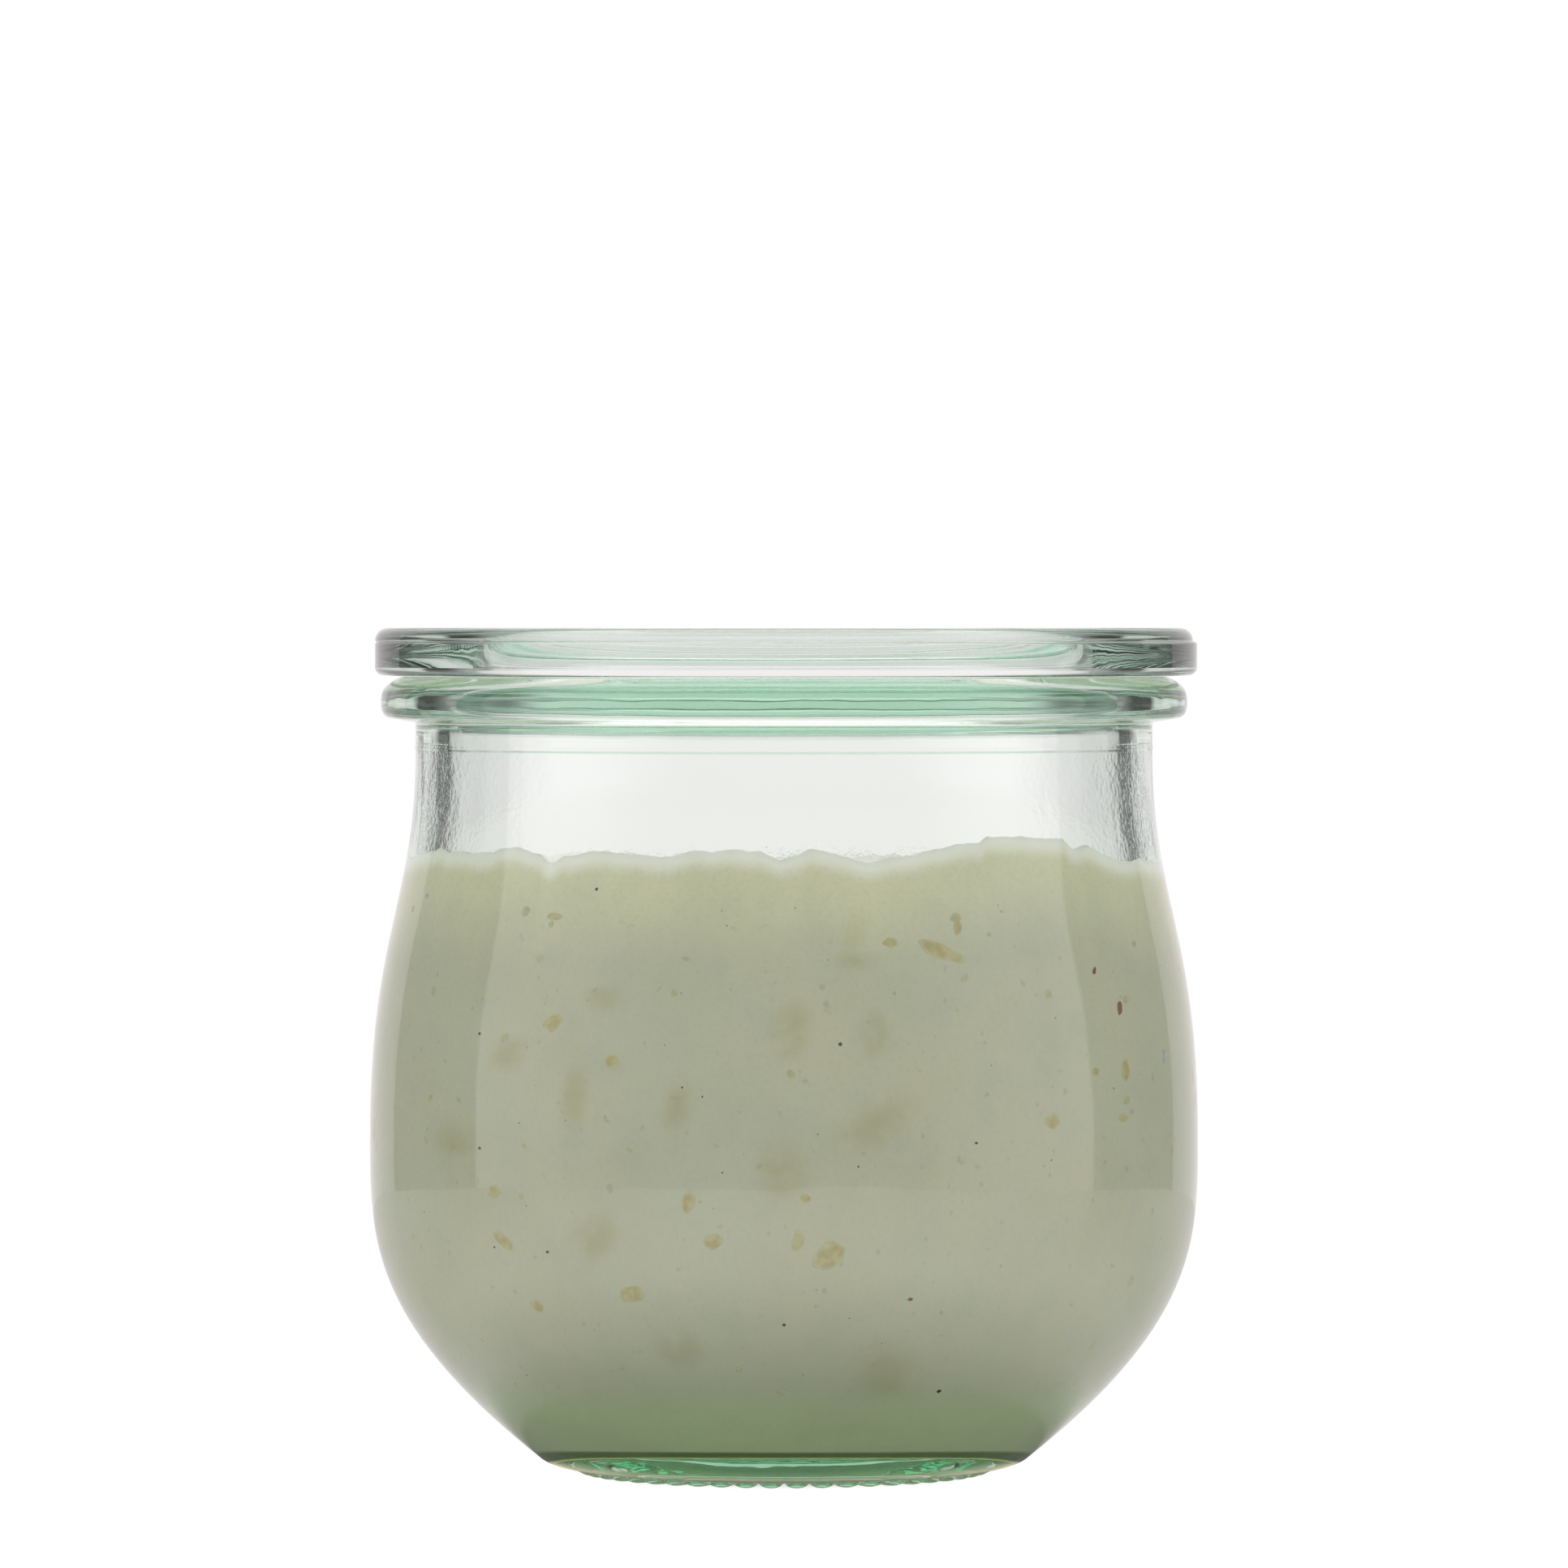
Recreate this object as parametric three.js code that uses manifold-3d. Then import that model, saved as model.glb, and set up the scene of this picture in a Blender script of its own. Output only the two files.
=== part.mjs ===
// A small tulip preserving jar with its loose glass lid, filled with a pale spread.
//
// Millimetres, +Z up. The origin is the centre of the base, on the surface that the jar stands on.
// The jar and the lid are turned shapes with one pressed-on detail each: the jar stands on a ring of
// small knurls, and the lid's lower half sits slightly off the upper one, as its two mould halves did.

import * as THREE from 'three';
import { mergeVertices } from 'three/addons/utils/BufferGeometryUtils.js';
import Module from 'manifold-3d';

const wasm = await Module();
wasm.setup();

// Driving dimensions of the jar. The wall runs up from the heel, out to the belly, in to the neck.
const HEEL_RADIUS = 26.7;
const HEEL_Z = 1.7;
const HEEL_LEAN = THREE.MathUtils.degToRad(51.4);
const HEEL_REACH = 24.2;
const BELLY_RADIUS = 45.35;
const BELLY_Z = 37;
const BELLY_REACH_DOWN = 11.1;
const BELLY_REACH_UP = 22.3;
const NECK_RADIUS = 40.35;
const NECK_Z = 79;
const NECK_REACH = 16.5;

const WALL = 3.3;
const HEEL_WALL = 4.6;
const MOUTH_RADIUS = 36.8;
const FLOOR_Z = 6.2;
const FLOOR_RADIUS = 20.5;
const FLOOR_START = 0.86;

// The standing ring under the base, the hollow inside it and the knurls on it.
const RING_RADIUS = 20.8;
const RING_Z = 0.8;
const RING_EDGE_Z = 0.65;
const RING_HALF_WIDTH = 2.1;
const PUSH_UP_Z = 2.85;
const PUSH_UP_SHARE = 0.63;
const HEEL_ROUND = 1.1;
const HEEL_DROP = 0.25;
const KNURL_COUNT = 50;
const KNURL_LENGTH = 4.2;
const KNURL_WIDTH = 2.1;
const KNURL_HEIGHT = 2;

// The bead round the mouth, and the faint seam that the mould left on the neck.
const RIM_Z = 87.2;
const RIM_RADIUS = 41.9;
const BEAD_RADIUS = 44.15;
const BEAD_Z = 84.35;
const BEAD_FOOT_Z = 82.2;
const BEAD_FOOT_IN = 0.9;
const BEAD_FOOT_ROUND = 0.45;
const BEAD_SIDE_BEND = 0.7;
const BEAD_FOOT_FILLET = 0.3;
const BEAD_SHOULDER_IN = 0.7;
const BEAD_SHOULDER_SHARE = 0.6;
const MOUTH_EDGE = 0.9;
const SEAM_Z = 79.45;
const SEAM_HEIGHT = 0.06;
const SEAM_HALF_WIDTH = 0.35;

// Driving dimensions of the lid: a flange on the rim, a plug in the mouth and a dish on top.
const SEAT_GAP = 0.1;
const LID_TOP_Z = 92.5;
const LID_RADIUS = 45;
const LID_UPPER_RADIUS = 44.77;
const LID_LEDGE_Z = 91;
const LID_SHIFT_X = 0.22;
const LID_TOP_ROUND = 1.4;
const LID_FOOT_ROUND = 0.9;
const PLUG_RADIUS = 36.1;
const PLUG_FOOT_Z = 81.2;
const PLUG_ROUND = 1.6;
const PLUG_SAG = 1;
const PLUG_FILLET = 0.4;
const DISH_RADIUS = 34;
const DISH_Z = 85.2;
const DISH_ROUND = 2.6;
const DISH_LIP_RADIUS = 35.6;
const DISH_LIP_DEPTH = 1.5;
const DISH_LIP_BEND = 0.3;
const DISH_LIP_DROP = 0.2;

// Driving dimensions of the spread: it stops short of the glass, its top is left uneven and falls a
// little to the back, and along the front glass it clings higher in a ragged edge.
const FILL_GAP = 0.3;
const FILL_Z = 67.3;
const FILL_EDGE_CLEARANCE = 2.5;
const FILL_RING_STEPS = 6;
const FILL_FALL = 0.012;
const FILL_RADIUS = 38;
const FRONT_EDGE_FADE = 12;
const FRONT_EDGE = [
  { x: -38, height: 0.3 },
  { x: -35, height: 1.1 },
  { x: -31.5, height: 0.7 },
  { x: -29.3, height: 1.4 },
  { x: -25, height: 1.4 },
  { x: -24.1, height: 0.2 },
  { x: -22.8, height: 1.1 },
  { x: -2.2, height: 1.1 },
  { x: -0.4, height: 0.4 },
  { x: 3, height: 1.5 },
  { x: 5.6, height: 1.5 },
  { x: 8.6, height: 0.6 },
  { x: 13.8, height: 1.1 },
  { x: 17.7, height: 2 },
  { x: 20.3, height: 1.8 },
  { x: 21.1, height: 2.7 },
  { x: 25.4, height: 2.7 },
  { x: 28.9, height: 2.3 },
  { x: 29.7, height: 1 },
  { x: 31.2, height: 2 },
  { x: 33.2, height: 0.3 },
  { x: 34, height: -0.4 },
  { x: 38, height: 0.1 },
];
const WAVES = [
  { length: 23, heading: 25, height: 0.15, phase: 0.4 },
  { length: 15, heading: 100, height: 0.12, phase: 2.1 },
  { length: 10.5, heading: 160, height: 0.1, phase: 4.4 },
  { length: 8.5, heading: 62, height: 0.08, phase: 1.2 },
];
const LUMPS = [
  { x: 22, y: 23, spread: 4.2, height: 0.8 },
  { x: 29, y: 14, spread: 3.2, height: 0.6 },
  { x: 17, y: -18, spread: 6, height: 0.6 },
  { x: -21, y: -8, spread: 7, height: 0.7 },
  { x: -26, y: 21, spread: 3, height: -0.7 },
  { x: 34, y: -4, spread: 4, height: -0.9 },
  { x: 2, y: 27, spread: 5, height: 0.5 },
];

const SIDES = 52;
const KNURL_SIDES = 6;
const KNURL_RINGS = 5;
const QUARTER = Math.PI / 2;

// Curves of a turned profile, as points (radius, height).

const at = (radius, height) => new THREE.Vector2(radius, height);

/** Points on a round corner about a centre, from one angle to another. */
function corner(centre, radius, fromAngle, toAngle, steps) {
  const points = [];
  for (let i = 0; i <= steps; i += 1) {
    const angle = fromAngle + ((toAngle - fromAngle) * i) / steps;
    points.push(at(centre.x + radius * Math.cos(angle), centre.y + radius * Math.sin(angle)));
  }
  return points;
}

/** The outer face from the heel up to the belly. */
function lowerWall() {
  return new THREE.CubicBezierCurve(
    at(HEEL_RADIUS, HEEL_Z),
    at(HEEL_RADIUS + HEEL_REACH * Math.sin(HEEL_LEAN), HEEL_Z + HEEL_REACH * Math.cos(HEEL_LEAN)),
    at(BELLY_RADIUS, BELLY_Z - BELLY_REACH_DOWN),
    at(BELLY_RADIUS, BELLY_Z),
  );
}

/** The outer face from the belly up to the neck. */
function upperWall() {
  return new THREE.CubicBezierCurve(
    at(BELLY_RADIUS, BELLY_Z),
    at(BELLY_RADIUS, BELLY_Z + BELLY_REACH_UP),
    at(NECK_RADIUS, NECK_Z - NECK_REACH),
    at(NECK_RADIUS, NECK_Z),
  );
}

/** The point of a curve moved inwards, square to the curve. */
function inwards(curve, t, distance) {
  const point = curve.getPoint(t);
  const along = curve.getTangent(t);
  return at(point.x - along.y * distance, point.y + along.x * distance);
}

/** The inner face from the centre of the floor up to the neck, moved in by a further gap. */
function innerFace(gap) {
  const lower = lowerWall();
  const upper = upperWall();
  const start = 1 - FLOOR_START;
  const wallAt = (t) => WALL + (HEEL_WALL - WALL) * (1 - t) ** 2 + gap;
  const bend = inwards(lower, start, wallAt(start));
  const slope = lower.getTangent(start);
  const floorZ = FLOOR_Z + gap;
  const meet = at(bend.x - (slope.x / slope.y) * (bend.y - floorZ), floorZ);
  const floor = new THREE.QuadraticBezierCurve(at(FLOOR_RADIUS, floorZ), meet, bend);
  const points = [at(0, floorZ), ...floor.getPoints(3)];
  const lowerSteps = 5;
  for (let i = 1; i <= lowerSteps; i += 1) {
    const t = start + (FLOOR_START * i) / lowerSteps;
    points.push(inwards(lower, t, wallAt(t)));
  }
  const upperSteps = 6;
  for (let i = 1; i < upperSteps; i += 1) {
    const thickness = WALL + (NECK_RADIUS - MOUTH_RADIUS - WALL) * (i / upperSteps) + gap;
    points.push(inwards(upper, i / upperSteps, thickness));
  }
  points.push(at(MOUTH_RADIUS - gap, NECK_Z));
  return points;
}

/** The bead from the neck up round to the flat of the rim and the edge of the mouth. */
function beadOutline() {
  const half = RIM_Z - BEAD_Z;
  const side = new THREE.QuadraticBezierCurve(
    at(BEAD_RADIUS - BEAD_FOOT_IN, BEAD_FOOT_Z + BEAD_FOOT_ROUND),
    at(BEAD_RADIUS, BEAD_FOOT_Z + BEAD_SIDE_BEND),
    at(BEAD_RADIUS, BEAD_Z),
  );
  const shoulder = new THREE.CubicBezierCurve(
    at(BEAD_RADIUS, BEAD_Z),
    at(BEAD_RADIUS, BEAD_Z + BEAD_SHOULDER_SHARE * half),
    at(BEAD_RADIUS - BEAD_SHOULDER_IN, RIM_Z - BEAD_SHOULDER_IN),
    at(RIM_RADIUS, RIM_Z),
  );
  const mouth = corner(
    at(MOUTH_RADIUS + MOUTH_EDGE, RIM_Z - MOUTH_EDGE), MOUTH_EDGE, QUARTER, 2 * QUARTER, 2);
  return [
    at(NECK_RADIUS, BEAD_FOOT_Z - BEAD_FOOT_FILLET),
    at(NECK_RADIUS + BEAD_FOOT_FILLET, BEAD_FOOT_Z),
    ...side.getPoints(3),
    ...shoulder.getPoints(4).slice(1),
    ...mouth,
  ];
}

/** The seam on the neck, a low ridge. */
function seamOutline() {
  return [
    at(NECK_RADIUS, SEAM_Z - SEAM_HALF_WIDTH),
    at(NECK_RADIUS + SEAM_HEIGHT, SEAM_Z),
    at(NECK_RADIUS, SEAM_Z + SEAM_HALF_WIDTH),
  ];
}

/** The underside from the centre out to the heel. */
function baseOutline() {
  const inner = RING_RADIUS - RING_HALF_WIDTH;
  const outer = RING_RADIUS + RING_HALF_WIDTH;
  const hollow = new THREE.QuadraticBezierCurve(
    at(0, PUSH_UP_Z), at(inner * PUSH_UP_SHARE, PUSH_UP_Z), at(inner, RING_Z));
  const heel = new THREE.QuadraticBezierCurve(
    at(outer, RING_EDGE_Z), at(HEEL_RADIUS - HEEL_ROUND, RING_EDGE_Z + HEEL_DROP), at(HEEL_RADIUS, HEEL_Z));
  return [...hollow.getPoints(3), at(RING_RADIUS, RING_Z), ...heel.getPoints(3).slice(0, -1)];
}

/** The closed outline of the jar, counter-clockwise from the centre of its underside. */
function jarOutline() {
  return [
    ...baseOutline(),
    ...lowerWall().getPoints(8),
    ...upperWall().getPoints(7).slice(1, -1),
    ...seamOutline(),
    ...beadOutline(),
    ...innerFace(0).reverse(),
  ];
}

/** The closed outline of the lid, counter-clockwise from the centre of its underside. */
function lidOutline() {
  const seatZ = RIM_Z + SEAT_GAP;
  const plugFoot = corner(
    at(PLUG_RADIUS - PLUG_ROUND, PLUG_FOOT_Z + PLUG_ROUND), PLUG_ROUND, -QUARTER, 0, 3);
  const flangeFoot = corner(
    at(LID_RADIUS - LID_FOOT_ROUND, seatZ + LID_FOOT_ROUND), LID_FOOT_ROUND, -QUARTER, 0, 2);
  const topEdge = corner(
    at(LID_UPPER_RADIUS - LID_TOP_ROUND, LID_TOP_Z - LID_TOP_ROUND), LID_TOP_ROUND, 0, QUARTER, 3);
  const lip = new THREE.QuadraticBezierCurve(
    at(DISH_LIP_RADIUS, LID_TOP_Z),
    at(DISH_RADIUS + DISH_LIP_BEND, LID_TOP_Z - DISH_LIP_DROP),
    at(DISH_RADIUS, LID_TOP_Z - DISH_LIP_DEPTH),
  );
  const dishFoot = corner(
    at(DISH_RADIUS - DISH_ROUND, DISH_Z + DISH_ROUND), DISH_ROUND, 0, -QUARTER, 3);
  const sag = new THREE.QuadraticBezierCurve(
    at(0, PLUG_FOOT_Z - PLUG_SAG), at(PLUG_RADIUS / 2, PLUG_FOOT_Z - PLUG_SAG), plugFoot[0]);
  return [
    ...sag.getPoints(3).slice(0, -1),
    ...plugFoot,
    at(PLUG_RADIUS, seatZ - PLUG_FILLET),
    at(PLUG_RADIUS + PLUG_FILLET, seatZ),
    ...flangeFoot,
    at(LID_RADIUS, LID_LEDGE_Z),
    ...topEdge,
    ...lip.getPoints(3),
    ...dishFoot,
    at(0, DISH_Z),
  ];
}

/** How high the spread clings to the front glass above its level, at a place on its edge. */
function frontEdge(x, y) {
  const last = FRONT_EDGE.length - 1;
  const place = Math.min(Math.max(x, FRONT_EDGE[0].x), FRONT_EDGE[last].x);
  const next = Math.max(1, FRONT_EDGE.findIndex((knot) => knot.x >= place));
  const [before, after] = [FRONT_EDGE[next - 1], FRONT_EDGE[next]];
  const share = (place - before.x) / (after.x - before.x);
  const height = before.height + (after.height - before.height) * share;
  return height * Math.min(1, Math.max(0, -y / FRONT_EDGE_FADE));
}

/** Height of the spread's top above its level, at a place across the jar. */
function relief(x, y) {
  let height = -FILL_FALL * (y + FILL_RADIUS);
  for (const wave of WAVES) {
    const heading = THREE.MathUtils.degToRad(wave.heading);
    const along = x * Math.cos(heading) + y * Math.sin(heading);
    height += wave.height * Math.sin((2 * Math.PI * along) / wave.length + wave.phase);
  }
  for (const lump of LUMPS) {
    const distance = Math.hypot(x - lump.x, y - lump.y) / lump.spread;
    height += lump.height * Math.exp(-0.5 * distance * distance);
  }
  return height;
}

// Turned geometry.

/** A closed body turned from an outline about the Z axis. */
function turned(outline) {
  const geometry = new THREE.LatheGeometry(outline, SIDES);
  geometry.rotateX(QUARTER);
  return geometry;
}

/** Merges a geometry's shared corners and drops the flat slivers that lie on the axis. */
function welded(geometry) {
  const bare = geometry.clone();
  bare.deleteAttribute('normal');
  bare.deleteAttribute('uv');
  const merged = mergeVertices(bare, 1e-4);
  const index = merged.getIndex().array;
  const kept = [];
  for (let i = 0; i < index.length; i += 3) {
    const [a, b, c] = [index[i], index[i + 1], index[i + 2]];
    if (a !== b && b !== c && c !== a) kept.push(a, b, c);
  }
  merged.setIndex(kept);
  return merged;
}

/** A solid that can be joined to others. */
function solidFrom(geometry) {
  const merged = welded(geometry);
  return new wasm.Manifold(new wasm.Mesh({
    numProp: 3,
    vertProperties: Float32Array.from(merged.getAttribute('position').array),
    triVerts: Uint32Array.from(merged.getIndex().array),
  }));
}

/** The geometry of a joined solid. */
function geometryFrom(solid) {
  const mesh = solid.getMesh();
  const geometry = new THREE.BufferGeometry();
  geometry.setAttribute('position', new THREE.BufferAttribute(mesh.vertProperties, 3));
  geometry.setIndex(new THREE.BufferAttribute(mesh.triVerts, 1));
  geometry.computeVertexNormals();
  return geometry;
}

/** One knurl: a low radial rib on the standing ring, flattened where it meets the surface below. */
function knurlGeometry(angle) {
  const geometry = new THREE.SphereGeometry(0.5, KNURL_SIDES, KNURL_RINGS);
  geometry.rotateX(QUARTER);
  geometry.scale(KNURL_LENGTH, KNURL_WIDTH, KNURL_HEIGHT);
  geometry.translate(RING_RADIUS, 0, RING_Z);
  geometry.rotateZ(angle);
  const position = geometry.getAttribute('position');
  for (let i = 0; i < position.count; i += 1) {
    position.setZ(i, Math.max(0, position.getZ(i)));
  }
  return geometry;
}

// The three pieces.

/** The jar: one piece of pressed glass with its ring of knurls. */
function jarGeometry() {
  let solid = solidFrom(turned(jarOutline()));
  for (let i = 0; i < KNURL_COUNT; i += 1) {
    solid = solid.add(solidFrom(knurlGeometry((2 * Math.PI * i) / KNURL_COUNT)));
  }
  return geometryFrom(solid);
}

/** The lid: its flange stands a little to one side below the ledge that the mould left. */
function lidGeometry() {
  const geometry = turned(lidOutline());
  const position = geometry.getAttribute('position');
  for (let i = 0; i < position.count; i += 1) {
    const radius = Math.hypot(position.getX(i), position.getY(i));
    const onLowerFlange = radius > DISH_LIP_RADIUS && position.getZ(i) < LID_LEDGE_Z + 1e-3;
    if (onLowerFlange) position.setX(i, position.getX(i) + LID_SHIFT_X);
  }
  return geometry;
}

/** The radius of an outline where it first passes a height, going up. */
function radiusAt(outline, height) {
  const above = outline.findIndex((point) => point.y > height);
  const [low, high] = [outline[above - 1], outline[above]];
  return low.x + ((high.x - low.x) * (height - low.y)) / (high.y - low.y);
}

/** The spread: the inside of the jar up to its level, with a top as uneven as it was left. */
function spreadGeometry() {
  const inside = innerFace(FILL_GAP);
  const wall = inside.filter((point) => point.y < FILL_Z - FILL_EDGE_CLEARANCE);
  const edgeRadius = radiusAt(inside, FILL_Z);
  const top = [];
  for (let i = 0; i <= FILL_RING_STEPS; i += 1) {
    top.push(at(edgeRadius * (1 - i / FILL_RING_STEPS), FILL_Z));
  }
  const geometry = turned([...wall, ...top]);
  const position = geometry.getAttribute('position');
  for (let i = 0; i < position.count; i += 1) {
    if (Math.abs(position.getZ(i) - FILL_Z) > 1e-4) continue;
    const [x, y] = [position.getX(i), position.getY(i)];
    const atEdge = Math.hypot(x, y) > edgeRadius - 1e-3;
    const height = FILL_Z + relief(x, y) + (atEdge ? frontEdge(x, y) : 0);
    const narrowing = atEdge ? radiusAt(inside, height) / edgeRadius : 1;
    position.setXYZ(i, x * narrowing, y * narrowing, height);
  }
  return geometry;
}

const glass = () => new THREE.MeshStandardMaterial({
  color: 0xd3e3d6, roughness: 0.05, metalness: 0, transparent: true, opacity: 0.4,
});

/** A named mesh of the object. */
function piece(name, geometry, material) {
  const mesh = new THREE.Mesh(geometry, material);
  mesh.name = name;
  return mesh;
}

const group = new THREE.Group();
group.add(piece('glass_jar', jarGeometry(), glass()));
group.add(piece('glass_lid', lidGeometry(), glass()));
group.add(piece('spread_filling', spreadGeometry(), new THREE.MeshStandardMaterial({
  color: 0xb2b597, roughness: 0.55, metalness: 0,
})));

export default group;
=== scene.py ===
"""A small tulip preserving jar of pressed glass, closed by its loose lid and filled with a pale spread."""

import bisect
import functools
import logging
import math
import random
from dataclasses import dataclass
from enum import Enum
from typing import Any, Callable, Sequence

import bmesh
import bpy
from mathutils import Matrix, Vector, noise


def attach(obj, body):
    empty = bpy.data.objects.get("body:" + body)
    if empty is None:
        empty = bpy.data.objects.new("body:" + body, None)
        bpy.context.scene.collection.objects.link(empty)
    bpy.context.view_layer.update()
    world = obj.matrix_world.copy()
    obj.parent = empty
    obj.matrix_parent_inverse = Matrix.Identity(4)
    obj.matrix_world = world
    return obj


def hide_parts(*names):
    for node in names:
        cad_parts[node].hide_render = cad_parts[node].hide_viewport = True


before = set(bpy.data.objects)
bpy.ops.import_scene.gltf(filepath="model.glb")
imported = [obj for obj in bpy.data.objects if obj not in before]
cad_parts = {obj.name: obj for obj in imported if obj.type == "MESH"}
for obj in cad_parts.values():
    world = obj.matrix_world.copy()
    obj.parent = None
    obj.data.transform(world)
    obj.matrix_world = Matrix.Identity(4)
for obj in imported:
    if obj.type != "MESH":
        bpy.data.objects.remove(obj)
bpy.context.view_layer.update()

log = logging.getLogger("tulip_jar")

BODY = "root"
MM = 0.001
WELD = 1e-6
DOUBLINGS = 3

# The attributes that the finishes read
BLOTCHES = "blotches"
UNDER_EDGE = "under_edge"
CORE = "core"

# A point of an outline, in millimetres: its radius, or its place across the jar, and its height
Point = tuple[float, float]
Colour = tuple[float, float, float]
# Where a value starts to change, and where it has changed in full
Fade = tuple[float, float]

WHITE = (1.0, 1.0, 1.0)


class Part(Enum):
    """The parts of the frame: each one's node and its material slot."""

    JAR = ("glass_jar", "jar_glass")
    LID = ("glass_lid", "lid_glass")
    SPREAD = ("spread_filling", "spread")


class Wired:
    """A value that travels along a node tree, with arithmetic that adds Math nodes."""

    def __init__(self, tree: "Tree", socket: bpy.types.NodeSocket) -> None:
        """Keeps the tree that the value belongs to and the socket that it comes from."""
        self.tree = tree
        self.socket = socket

    def maths(self, operation: str, *values: Any) -> "Wired":
        """A Math node on some values.

        Args:
            operation: The Math node's operation.
            values: Numbers or wired values, in the node's own order.

        Returns:
            The node's result.
        """
        return self.tree.out("ShaderNodeMath", "Value", {"operation": operation}, dict(enumerate(values)))

    def __add__(self, other: Any) -> "Wired":
        """self + other."""
        return self.maths("ADD", self, other)

    __radd__ = __add__

    def __mul__(self, other: Any) -> "Wired":
        """self * other."""
        return self.maths("MULTIPLY", self, other)

    __rmul__ = __mul__

    def __sub__(self, other: Any) -> "Wired":
        """self - other."""
        return self.maths("SUBTRACT", self, other)

    def __rsub__(self, other: Any) -> "Wired":
        """other - self."""
        return self.maths("SUBTRACT", other, self)

    def __truediv__(self, other: Any) -> "Wired":
        """self / other."""
        return self.maths("DIVIDE", self, other)

    def __pow__(self, other: Any) -> "Wired":
        """self ** other."""
        return self.maths("POWER", self, other)

    def absolute(self) -> "Wired":
        """The value without its sign."""
        return self.maths("ABSOLUTE", self)

    def over(self, low: float, high: float) -> "Wired":
        """A smooth step, which falls where low is the larger.

        Args:
            low: Where the step is 0.
            high: Where the step is 1.

        Returns:
            The step, from 0 to 1.
        """
        settings = {"interpolation_type": "SMOOTHSTEP"}
        if low < high:
            return self.tree.out(
                "ShaderNodeMapRange", "Result", settings, {"Value": self, "From Min": low, "From Max": high})
        return 1 - self.over(high, low)


class Tree:
    """A node tree that is written in a few calls."""

    def __init__(self, nodes: bpy.types.NodeTree) -> None:
        """Starts on an emptied node tree."""
        self.nodes = nodes
        nodes.nodes.clear()

    def node(self, kind: str, settings: dict[str, Any] | None = None,
             inputs: dict[Any, Any] | None = None) -> bpy.types.Node:
        """Adds a node.

        Args:
            kind: The node's type.
            settings: Its own properties, set before its sockets.
            inputs: Numbers, colours or wired values by the socket's name or number.

        Returns:
            The new node.
        """
        made = self.nodes.nodes.new(kind)
        for name, value in (settings or {}).items():
            setattr(made, name, value)
        for key, value in (inputs or {}).items():
            socket = made.inputs[key]
            if isinstance(value, Wired):
                self.nodes.links.new(value.socket, socket)
            elif isinstance(value, bpy.types.NodeSocket):
                self.nodes.links.new(value, socket)
            else:
                socket.default_value = value
        return made

    def out(self, kind: str, output: Any, settings: dict[str, Any] | None = None,
            inputs: dict[Any, Any] | None = None) -> Wired:
        """Adds a node and gives one of its outputs.

        Args:
            kind: The node's type.
            output: The output's name or number.
            settings: Its own properties.
            inputs: Its sockets' values.

        Returns:
            The output as a wired value.
        """
        return Wired(self, self.node(kind, settings, inputs).outputs[output])

    def mix(self, factor: Any, first: Any, second: Any) -> Wired:
        """A Mix node on two colours.

        Args:
            factor: How much of the second.
            first: A colour, as three numbers or wired.
            second: A colour, as three numbers or wired.

        Returns:
            The mixed colour.
        """
        sides = [(*c, 1.0) if isinstance(c, tuple) else c for c in (first, second)]
        return self.out("ShaderNodeMix", 2, {"data_type": "RGBA"}, {0: factor, 6: sides[0], 7: sides[1]})

    def noise(self, place: Wired, scale: float, detail: float = 2.0, roughness: float = 0.5) -> Wired:
        """A Noise texture.

        Args:
            place: The coordinates that it reads.
            scale: Its scale, per metre.
            detail: Its octaves.
            roughness: How strong the finer octaves are.

        Returns:
            The noise, from 0 to 1.
        """
        return self.out("ShaderNodeTexNoise", "Fac", None,
                        {"Vector": place, "Scale": scale, "Detail": detail, "Roughness": roughness})

    def place(self) -> Wired:
        """The Object coordinates."""
        return self.out("ShaderNodeTexCoord", "Object")

    def split(self, vector: Any) -> list[Wired]:
        """The three parts of a vector."""
        parts = self.node("ShaderNodeSeparateXYZ", None, {0: vector})
        return [Wired(self, parts.outputs[i]) for i in range(3)]

    def bump(self, height: Wired, distance: float) -> Wired:
        """A Bump node.

        Args:
            height: The relief, where 1 stands for the whole distance.
            distance: The depth of the relief, in metres.

        Returns:
            The bent normal.
        """
        return self.out("ShaderNodeBump", "Normal", None, {"Height": height, "Distance": distance})


def material(name: str) -> tuple[bpy.types.Material, Tree]:
    """A new material.

    Args:
        name: The material's name.

    Returns:
        The material, and its emptied node tree.
    """
    made = bpy.data.materials.new(name)
    made.use_nodes = True
    return made, Tree(made.node_tree)


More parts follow.
